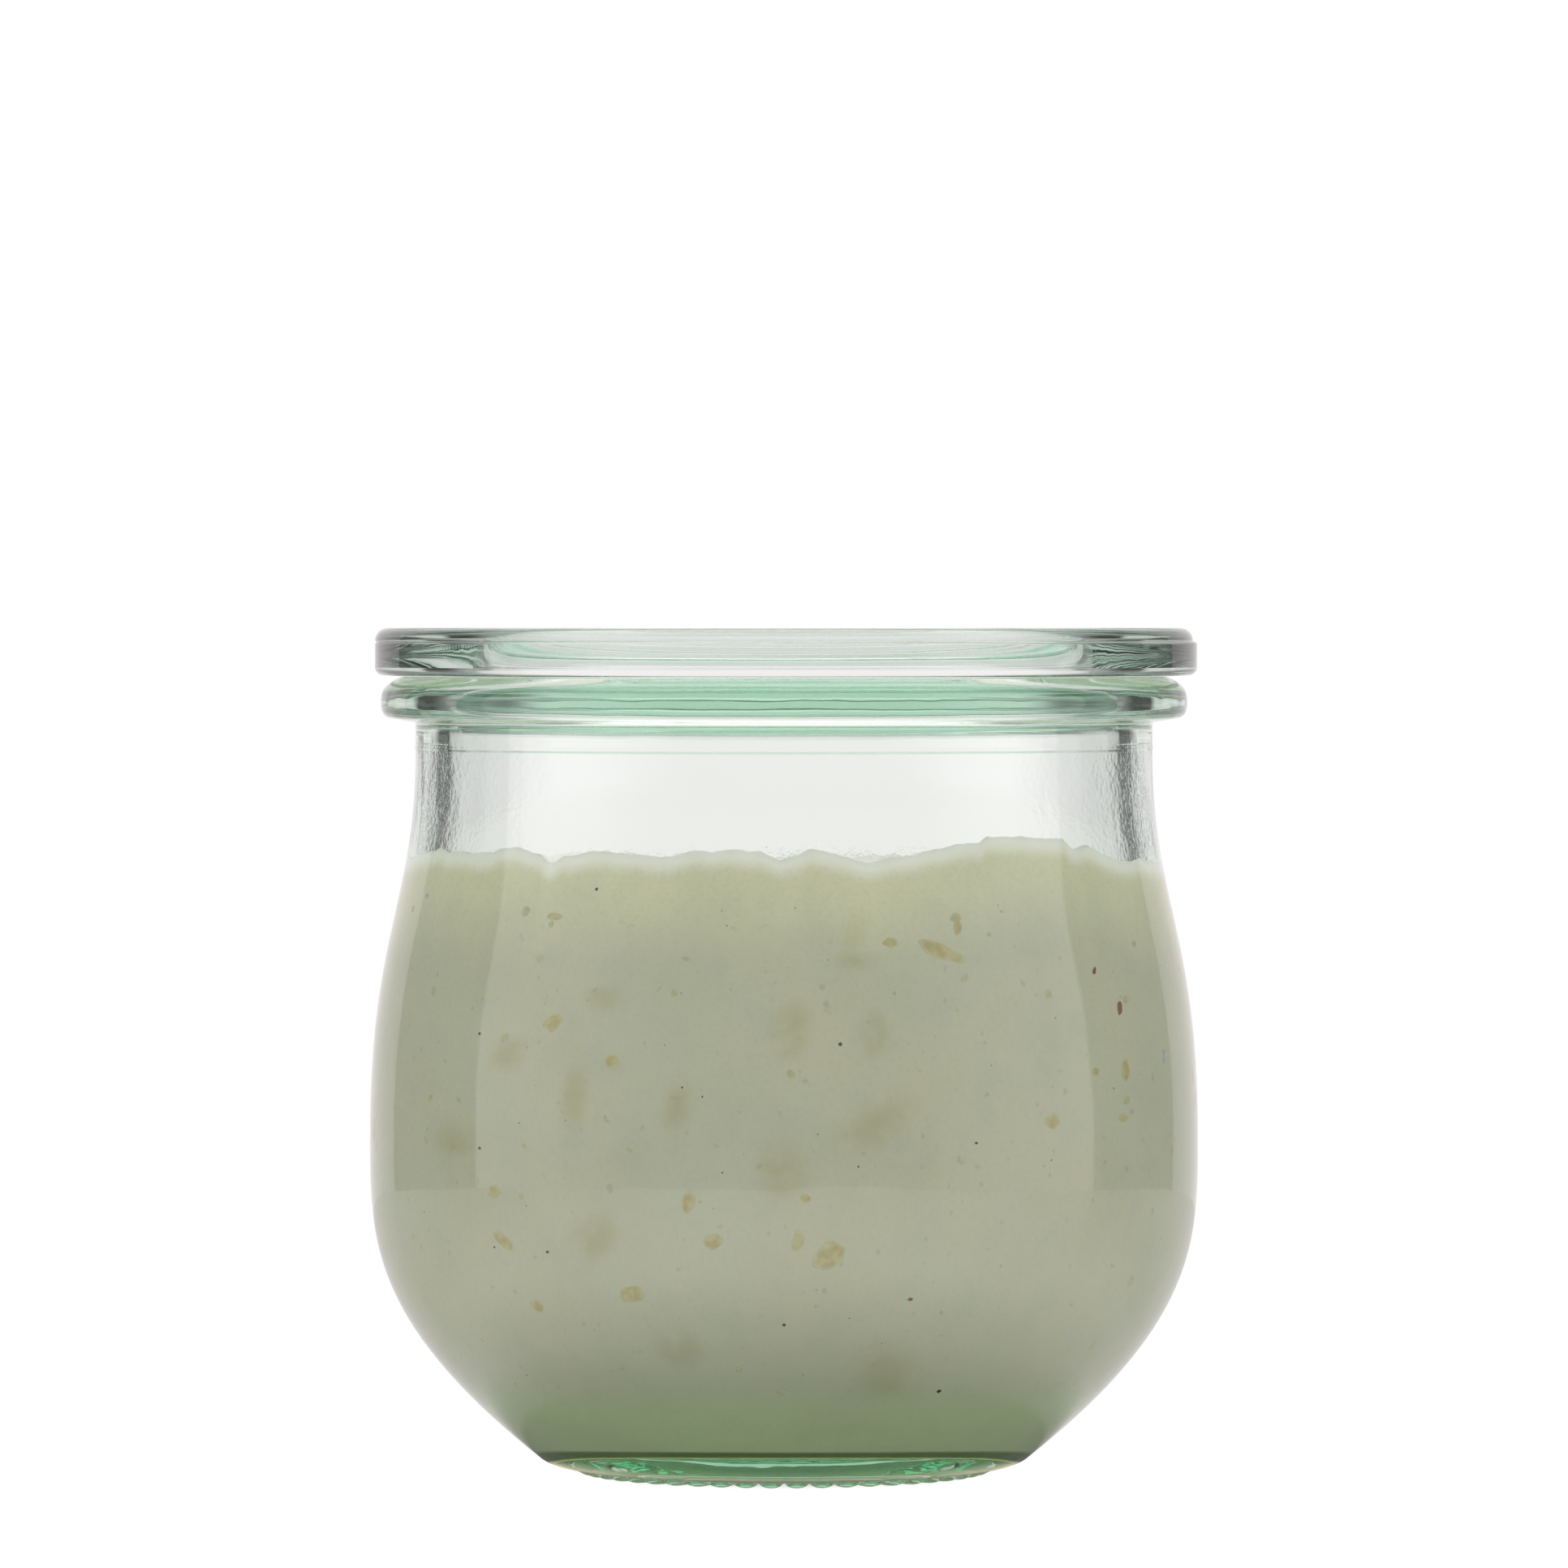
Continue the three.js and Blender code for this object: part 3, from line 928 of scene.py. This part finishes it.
@dataclass(eq=False)
class Spread:
    """The spread: the inside of the jar up to its level, pressed into the glass, with an uneven top.

    Over the flat of the floor it only just clears the glass, because no sight line into the base passes
    from the glass into the food at so low an angle.
    """

    jar: Jar
    reach: float = 0.12
    clearance: float = 0.08
    contact_radius: float = 21.3
    level_z: float = 67.3
    skirt: float = 8.0
    ragged: float = 0.45
    fall: float = 0.012
    edge_radius: float = 38.0
    edge_fade: float = 12.0
    sides: int = 480
    far_under: float = 20.0
    middle_radius: float = 20.0
    fine_wave: float = 0.15
    blotches: Sequence[Bit] = (
        Bit(13, 49.5, 2.2, 1.3, 90), Bit(13, 40, 4.6, 2.0, 25), Bit(-31, 42.5, 3.2, 1.5, 88),
        Bit(-15, 42, 2.3, 1.5, 80), Bit(-43, 47, 2.6, 1.5, 20), Bit(-54, 37.5, 3.4, 1.7),
        Bit(11, 60.5, 2.2, 1.3, 70), Bit(1, 50, 2.6, 2.0, 80), Bit(0, 35, 2.6, 2.4), Bit(-27, 53, 2.4, 0.9),
        Bit(11, 57, 2.5, 0.7), Bit(-28, 28, 3.0, 2.2, 30), Bit(-25, 10, 2.2, 1.1, 12),
        Bit(18, 14, 4.5, 2.6, -40), Bit(-17, 17, 2.6, 1.9), Bit(110, 30, 4, 2, 20), Bit(150, 48, 3, 2, 70),
        Bit(-120, 40, 4, 2, -30), Bit(-160, 22, 3, 2), Bit(180, 55, 3, 1.5, 40))
    waves: Sequence[Wave] = (
        Wave(23, 25, 0.15, 0.4), Wave(15, 100, 0.12, 2.1), Wave(10.5, 160, 0.1, 4.4),
        Wave(8.5, 62, 0.08, 1.2))
    lumps: Sequence[Lump] = (
        Lump(22, 23, 4.2, 0.8), Lump(29, 14, 3.2, 0.6), Lump(17, -18, 6, 0.6), Lump(-21, -8, 7, 0.7),
        Lump(-26, 21, 3, -0.7), Lump(34, -4, 4, -0.9), Lump(2, 27, 5, 0.5))
    front_edge: Sequence[Point] = (
        (-38, 0.3), (-35, 1.1), (-31.5, 0.7), (-29.3, 1.4), (-25, 1.4), (-24.1, 0.2), (-22.8, 1.1),
        (-2.2, 1.1), (-0.4, 0.4), (3, 1.5), (5.6, 1.5), (8.6, 0.6), (13.8, 1.1), (17.7, 2), (20.3, 1.8),
        (21.1, 2.7), (25.4, 2.7), (28.9, 2.3), (29.7, 1), (31.2, 2), (33.2, 0.3), (34, -0.4), (38, 0.1))

    def clinging(self, x: float, y: float) -> float:
        """How high the spread clings to the front glass above its level, at a place near its edge.

        Args:
            x: The place across the jar, in millimetres.
            y: The place from the front to the back.

        Returns:
            The height, in millimetres.
        """
        place = min(max(x, self.front_edge[0][0]), self.front_edge[-1][0])
        after = max(1, bisect.bisect_left(self.front_edge, place, key=lambda knot: knot[0]))
        (left, low), (right, high) = self.front_edge[after - 1], self.front_edge[after]
        height = low + (high - low) * (place - left) / (right - left)
        return height * min(1.0, max(0.0, -y / self.edge_fade))

    def relief(self, x: float, y: float) -> float:
        """Height of the top above its level at a place across the jar.

        Args:
            x: The place across the jar, in millimetres.
            y: The place from the front to the back.

        Returns:
            The height, in millimetres.
        """
        height = -self.fall * (y + self.edge_radius)
        for wave in self.waves:
            heading = math.radians(wave.heading)
            along = x * math.cos(heading) + y * math.sin(heading)
            height += wave.height * math.sin(2 * math.pi * along / wave.length + wave.phase)
        for lump in self.lumps:
            distance = math.hypot(x - lump.x, y - lump.y) / lump.spread
            height += lump.height * math.exp(-0.5 * distance * distance)
        return height

    @functools.cache
    def wall(self) -> list[Point]:
        """The face against the glass, from the centre of the floor up to the neck.

        Returns:
            The face's points, going up.
        """
        lift = self.reach + self.clearance
        return [(radius, height + lift if radius < self.contact_radius else height)
                for radius, height in self.jar.inner_face(-self.reach)]

    def outline(self) -> list[Point]:
        """The spread's outline, with its top still flat.

        Returns:
            The outline's points.
        """
        wall = [point for point in self.wall() if point[1] < self.level_z - 0.3]
        edge = self.face(self.level_z)[0]
        steps = 72
        return [*wall, *[(edge * (1 - i / steps), self.level_z) for i in range(steps + 1)]]

    def dressed(self, place: Vector) -> Vector:
        """Lifts a corner of the top to the relief there, and takes the wall below along.

        Args:
            place: The corner's place, in millimetres.

        Returns:
            Its new place.
        """
        radius = math.hypot(place.x, place.y)
        share = min(1.0, max(0.0, 1 - (self.level_z - place.z) / self.skirt))
        if share <= 0 or (place.z < self.level_z - 0.01 and radius < 30):
            return place
        if place.z < self.level_z - 0.01:
            raised = place.z + self.crest(place.x, place.y, 1.0) * share
            return Vector((place.x, place.y, 0)) * (self.face(raised)[0] / radius) + Vector((0, 0, raised))
        edge = min(1.0, max(0.0, (radius - self.edge_radius + 3.5) / 3))
        raised = place.z + self.crest(place.x, place.y, edge)
        narrowing = 1 + (self.face(raised)[0] / self.face(self.level_z)[0] - 1) * edge
        return Vector((place.x * narrowing, place.y * narrowing, raised))

    def crest(self, x: float, y: float, edge: float) -> float:
        """How far the top stands above its level, of which a share belongs to the edge.

        Args:
            x: The place across the jar, in millimetres.
            y: The place from the front to the back.
            edge: The edge's share, from 0 to 1.

        Returns:
            The height, in millimetres.
        """
        level = Vector((x, y, 0)).normalized() * self.edge_radius if edge == 1 else Vector((x, y, 0))
        teeth = ripple(level, 5, 1.7) + 0.7 * ripple(level, 2.2, 7.7) + 0.5 * ripple(level, 1, 4.1)
        fine = self.fine_wave * ripple(level, 3, 3.1) + edge * self.ragged * teeth
        return self.relief(x, y) + edge * self.clinging(level.x, level.y) + fine

    def face(self, height: float) -> tuple[float, Vector]:
        """The face's radius at a height and its direction there, going up.

        Args:
            height: The height, in millimetres.

        Returns:
            The radius and the direction.
        """
        wall = self.wall()
        above = min(max(bisect.bisect(wall, height, key=lambda point: point[1]), 1), len(wall) - 1)
        low, high = wall[above - 1], wall[above]
        share = (height - low[1]) / (high[1] - low[1])
        return low[0] + (high[0] - low[0]) * share, Vector((high[0] - low[0], high[1] - low[1])).normalized()

    def cloud(self, place: Vector) -> float:
        """How strongly the soft blotches under the face colour a place.

        Args:
            place: The place, in metres.

        Returns:
            The strength, from 0 to 1.
        """
        bearing = math.degrees(math.atan2(place.x, -place.y))
        radius = math.hypot(place.x, place.y) / MM
        strength = 0.0
        for spot in self.blotches:
            aside = math.radians((bearing - spot.bearing + 180) % 360 - 180) * radius
            above = place.z / MM - spot.height
            tilt = math.radians(spot.tilt)
            along = (aside * math.cos(tilt) + above * math.sin(tilt)) / spot.length
            across = (above * math.cos(tilt) - aside * math.sin(tilt)) / spot.width
            strength += math.exp(-((along * along + across * across) ** 1.5))
        return min(1.0, strength)

    def build(self, finish: bpy.types.Material) -> bpy.types.Object:
        """Builds the spread.

        Args:
            finish: The spread's finish.

        Returns:
            The spread's object.
        """
        made = turned("spread", self.outline(), self.sides, self.dressed)
        made.data.materials.append(finish)
        for name, reader in ((BLOTCHES, self.cloud), (UNDER_EDGE, self.under_edge)):
            values = made.data.attributes.new(name, "FLOAT", "POINT")
            for vertex, value in zip(made.data.vertices, values.data):
                value.value = reader(vertex.co)
        return placed(made, Part.SPREAD)

    def under_edge(self, place: Vector) -> float:
        """How far a place lies under the edge above it.

        Args:
            place: The place, in metres.

        Returns:
            The depth, in millimetres, which is far_under well inside and well below the edge.
        """
        height = place.z / MM
        if height < self.level_z - self.far_under or math.hypot(place.x, place.y) < self.middle_radius * MM:
            return self.far_under
        return max(0.0, self.level_z + self.crest(place.x / MM, place.y / MM, 1.0) - height)


@dataclass
class Bits:
    """All bits of one kind: those seen from the front, and others strewn over the rest of the face."""

    name: str
    finish: BitFinish
    spread: Spread
    seen: Sequence[Bit]
    strewn: int
    smallest: float
    largest: float
    seed: int
    proud: float = 0.06
    depth: float = 0.25
    bare_bearing: float = 80.0
    lowest: float = 12.0
    highest: float = 63.0

    def all(self) -> list[Bit]:
        """The bits seen from the front and the strewn ones.

        Returns:
            All bits of the kind.
        """
        chance = random.Random(self.seed)
        made = list(self.seen)
        for _ in range(self.strewn):
            length = self.smallest + (self.largest - self.smallest) * chance.random() ** 2
            bearing = chance.uniform(self.bare_bearing, 360 - self.bare_bearing)
            height = chance.uniform(self.lowest, self.highest)
            width = length * chance.uniform(0.5, 0.9)
            made.append(Bit(bearing, height, length, width, chance.uniform(-90, 90)))
        return made

    def build(self) -> bpy.types.Object:
        """Builds the bits as one piece.

        Returns:
            The bits' object.
        """
        finish = self.finish.build()
        shape = bmesh.new()
        core = shape.verts.layers.float.new(CORE)
        for number, bit in enumerate(self.all()):
            ball = bmesh.ops.create_icosphere(shape, subdivisions=3, radius=1)
            for vertex in ball["verts"]:
                vertex[core] = vertex.co.z
                vertex.co = self.pressed(bit, vertex.co, number) * MM
        bmesh.ops.recalc_face_normals(shape, faces=shape.faces)
        made = finished(self.name, shape)
        made.data.materials.append(finish)
        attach(made, BODY)
        return made

    def pressed(self, bit: Bit, vertex: Vector, number: int) -> Vector:
        """Where a corner of a ball lands when the ball is pressed flat into the spread's face.

        Args:
            bit: The bit that the ball becomes.
            vertex: The corner, on a ball of radius 1, with Z towards the glass.
            number: The bit's number, for its own uneven edge.

        Returns:
            The place, in millimetres.
        """
        uneven = 1 + 0.3 * noise.noise(Vector((vertex.x * 1.2, vertex.y * 1.2, 7.3 * number)))
        tilt = math.radians(bit.tilt)
        along = vertex.x * bit.length * uneven
        up = vertex.y * bit.width * uneven
        right = along * math.cos(tilt) - up * math.sin(tilt)
        rise = along * math.sin(tilt) + up * math.cos(tilt)
        height = bit.height + rise * self.spread.face(bit.height)[1].y
        radius, up_wall = self.spread.face(height)
        out = vertex.z * (self.proud if vertex.z > 0 else self.depth)
        radius += out * up_wall.y
        bearing = math.radians(bit.bearing) + right / radius
        return Vector((radius * math.sin(bearing), -radius * math.cos(bearing), height - out * up_wall.x))


@dataclass
class Studio:
    """A small white table before a white backdrop, dark to both sides, and white light in front and above."""

    table_radius: float = 0.40
    shade_radius: float = 0.033
    shade_forward: float = 0.008
    penumbra: float = 0.012
    foot_radius: float = 0.0235
    heel_radius: float = 0.0263
    camera_distance: float = 1.1
    camera_height: float = 0.0924
    aim_height: float = 0.0754
    lens: float = 230.6
    backdrop_middle: float = 0.25
    backdrop_half_width: float = 42.0
    backdrop_fall: float = 0.18
    backdrop_through: float = 0.96
    gap_half_width: float = 85.3
    gap_light: float = 0.03
    gap_shine: float = 0.4
    gap_fill: float = 0.8
    gap_glow: float = 0.45
    through_half_width: float = 30.0
    soft_edge: float = 4.0
    front_light: float = 0.9
    side_light: float = 1.5
    side_from: float = 150.0
    side_to: float = 105.0
    roof_light: float = 1.6
    near_light: float = 0.3
    far_light: float = 0.8
    front_gain: float = 0.75
    shade_light: float = 0.15
    foot_light: float = 0.35
    heel_light: float = 0.8
    foot_colour: Colour = (1.0, 0.86, 0.68)
    front_bearing: Fade = (0.3, -0.5)
    front_reach: Fade = (0.005, 0.045)
    contact_reach: Fade = (0.016, 0.024)
    contact_light: float = 0.72
    contact_gain: float = 0.3
    roof_height: Fade = (45.0, 60.0)
    glow_bearing: Fade = (43.0, 62.0)
    seen_light: float = 1.02
    shade_fill: float = 0.6
    warmth: Colour = (1.0, 0.945, 0.955)

    def camera(self) -> None:
        """Stands the camera level with the lid, far off, as in the photograph."""
        data = bpy.data.cameras.new("camera")
        data.lens = self.lens
        data.sensor_width = 36
        data.clip_end = 100
        made = bpy.data.objects.new("camera", data)
        made.location = (0, -self.camera_distance, self.camera_height)
        aim = Vector((0, 0, self.aim_height)) - made.location
        made.rotation_euler = aim.to_track_quat("-Z", "Y").to_euler()
        bpy.context.collection.objects.link(made)
        bpy.context.scene.camera = made

    def table(self) -> None:
        """A plain white table top, lit from above and shaded under the jar."""
        shape = bmesh.new()
        bmesh.ops.create_circle(shape, cap_ends=True, segments=128, radius=self.table_radius)
        made = finished("table", shape)
        finish, tree = material("table")
        x, y, _ = tree.split(tree.place())
        radius = (x * x + y * y) ** 0.5
        forward = y + self.shade_forward
        off = (x * x + forward * forward) ** 0.5 - self.shade_radius
        lit = off.over(-0.001, 0.001)
        path = tree.node("ShaderNodeLightPath")
        seen = Wired(tree, path.outputs["Is Camera Ray"])
        spread_out = Wired(tree, path.outputs["Diffuse Depth"]).over(0.0, 1.0)
        foot = radius.over(self.foot_radius + 0.001, self.foot_radius - 0.001)
        heel = radius.over(self.heel_radius + 0.0005, self.heel_radius - 0.0005)
        under = heel * (foot * (self.foot_light - self.heel_light) + self.heel_light - self.shade_light)
        under = under + self.shade_light
        front = (y / radius).over(*self.front_bearing) * off.over(*self.front_reach) * self.front_gain
        rising = off.over(-0.001, self.penumbra) * (self.far_light - self.near_light)
        open_light = rising + self.near_light + front
        shaped = under * (1 - lit) + open_light * lit
        filled = lit * (1 - self.shade_fill) + self.shade_fill
        light = shaped * (1 - spread_out) + filled * spread_out
        # painted shadow: the camera sees the table darker close round the jar's foot
        near = radius.over(*self.contact_reach) * self.contact_gain + self.contact_light
        tinted = tree.mix(heel * (1 - spread_out), self.warmth, self.foot_colour)
        glow = tree.node("ShaderNodeEmission", None, {
            "Color": tree.mix(seen, tinted, WHITE), "Strength": seen * near + (1 - seen) * light})
        tree.node("ShaderNodeOutputMaterial", None, {"Surface": glow.outputs[0]})
        made.data.materials.append(finish)

    def world(self) -> None:
        """The light from all round, by bearing from the backdrop's middle and by height."""
        made = bpy.data.worlds.new("studio")
        made.use_nodes = True
        bpy.context.scene.world = made
        tree = Tree(made.node_tree)
        x, y, z = tree.split(tree.out("ShaderNodeTexCoord", "Generated"))
        degrees = 180 / math.pi
        bearing = x.maths("ARCTAN2", x, y) * degrees
        off_middle = (bearing - self.backdrop_middle).absolute()
        bearing = bearing.absolute()
        height = z.maths("ARCSINE", z) * degrees
        path = tree.node("ShaderNodeLightPath")
        seen = Wired(tree, path.outputs["Is Camera Ray"])
        diffuse = Wired(tree, path.outputs["Diffuse Depth"]).over(0.0, 1.0)
        edge, end, soft = self.backdrop_half_width, self.gap_half_width, self.soft_edge
        glimpsed = self.through_half_width
        through = Wired(tree, path.outputs["Transmission Depth"]).over(0.0, 1.0)
        backdrop = 1 - (off_middle / edge) ** 1.5 * self.backdrop_fall
        backdrop = backdrop * (1 - through * (1 - self.backdrop_through))
        aside = (off_middle.over(edge - 0.5, edge + 0.5) * (1 - through)
                 + off_middle.over(glimpsed - soft, glimpsed + soft) * through)
        roof = height.over(*self.roof_height)
        sideways = bearing.over(self.side_from, self.side_to)
        front = sideways * (self.side_light - self.front_light) + self.front_light
        glow = off_middle.over(*self.glow_bearing) * (self.gap_glow - self.gap_light) + self.gap_light
        dark = (1 - through) * self.gap_shine + through * glow
        gap = diffuse * self.gap_fill + (1 - diffuse) * dark
        in_front = (bearing.over(end - 1, end + 1) * (1 - through)
                    + bearing.over(end - soft, end + soft) * through)
        sides = in_front * front + (1 - in_front) * gap
        light = backdrop * (1 - aside) + sides * aside
        light = light * (1 - roof) + roof * self.roof_light
        background = tree.node("ShaderNodeBackground", None, {
            "Color": tree.mix(seen, self.warmth, WHITE),
            "Strength": seen * self.seen_light + (1 - seen) * light})
        tree.node("ShaderNodeOutputWorld", None, {"Surface": background.outputs[0]})

    def build(self) -> None:
        """Builds the camera, the table and the light."""
        self.camera()
        self.table()
        self.world()
        scene = bpy.context.scene
        scene.view_settings.view_transform = "Standard"
        scene.cycles.max_bounces = 24
        scene.cycles.transmission_bounces = 24
        scene.cycles.glossy_bounces = 12
        scene.cycles.diffuse_bounces = 4
        scene.cycles.sample_clamp_indirect = 10


BEIGE_SEEN = (
    Bit(6.5, 26.5, 1.9, 1.2, 35), Bit(24, 58, 2.6, 0.9, -20), Bit(16, 59, 0.8, 0.5),
    Bit(-13.5, 32, 1.3, 0.7, 78), Bit(-10, 28, 1.0, 0.8, 10), Bit(-45, 32.5, 1.0, 0.7),
    Bit(-25, 46.5, 0.9, 0.75), Bit(-35, 50.5, 1.2, 0.8, 30), Bit(41, 40, 1.0, 0.8),
    Bit(57, 45, 1.4, 0.8, 80), Bit(50, 45, 0.6, 0.4), Bit(56, 40, 0.8, 0.5), Bit(3, 32.5, 0.6, 0.5),
    Bit(-40, 21, 0.9, 0.7), Bit(-23, 22.5, 1.4, 0.9, 20), Bit(-37, 61.5, 1.1, 0.4),
    Bit(27, 60.5, 0.8, 0.5, 80), Bit(-44, 27.5, 1.5, 0.7, -30), Bit(2, 28, 1.2, 0.6, 78))
DARK_SEEN = (
    Bit(8, 48.5, 0.2, 0.19), Bit(-48, 37, 0.22, 0.17), Bit(-49, 49, 0.18, 0.14), Bit(0, 19.5, 0.2, 0.18),
    Bit(29, 12.5, 0.24, 0.24), Bit(-30, 64.5, 0.2, 0.17), Bit(-36, 26.5, 0.2, 0.14), Bit(28, 38, 0.18, 0.14))
RED_SEEN = (Bit(57, 51.5, 0.8, 0.45, 75), Bit(52, 55.5, 0.45, 0.3, 60), Bit(19, 22, 0.3, 0.18))
AIR_SEEN = (Bit(69, 46, 0.9, 0.7, 60), Bit(-70, 63, 0.5, 0.3), Bit(75, 55.5, 0.4, 0.3))


def bits(spread: Spread) -> list[Bits]:
    """The bits of every kind in the spread.

    Args:
        spread: The spread that holds them.

    Returns:
        Each kind's bits.
    """
    beige = BitFinish("beige_bits", (0.66, 0.60, 0.31), (0.56, 0.47, 0.19))
    crumb = BitFinish("pale_crumbs", (0.64, 0.61, 0.38), (0.56, 0.54, 0.31))
    dark = BitFinish("dark_specks", (0.05, 0.05, 0.04), (0.02, 0.02, 0.02), 0.3)
    red = BitFinish("red_flecks", (0.32, 0.12, 0.08), (0.16, 0.06, 0.05), 0.5)
    air = BitFinish("air_spots", (0.82, 0.84, 0.80), (0.45, 0.48, 0.44))
    return [
        Bits("beige_bits", beige, spread, BEIGE_SEEN, 45, 0.4, 2.0, 3),
        Bits("pale_crumbs", crumb, spread, (), 170, 0.15, 0.7, 4, bare_bearing=0),
        Bits("dark_specks", dark, spread, DARK_SEEN, 80, 0.05, 0.13, 5, bare_bearing=0),
        Bits("red_flecks", red, spread, RED_SEEN, 8, 0.2, 0.5, 7),
        Bits("air_spots", air, spread, AIR_SEEN, 8, 0.3, 0.7, 9)]


def main() -> None:
    """Builds the jar, the lid, the spread with its bits and the studio."""
    logging.basicConfig(level=logging.INFO, format="%(message)s")
    jar = Jar()
    spread = Spread(jar)
    jar_glass = PressedGlass("jar_glass", speckle=0.15)
    lid_glass = PressedGlass("lid_glass", density=10, wave_height=0.00003, flange=(1, 0.93, 0.98))
    for made in (
            jar.build(jar_glass.build()),
            Lid().build(lid_glass.build()),
            spread.build(SpreadFinish().build()),
            *[kind.build() for kind in bits(spread)]):
        log.info("built %s with %d faces", made.name, len(made.data.polygons))
    Studio().build()


if __name__ == "__main__":
    main()
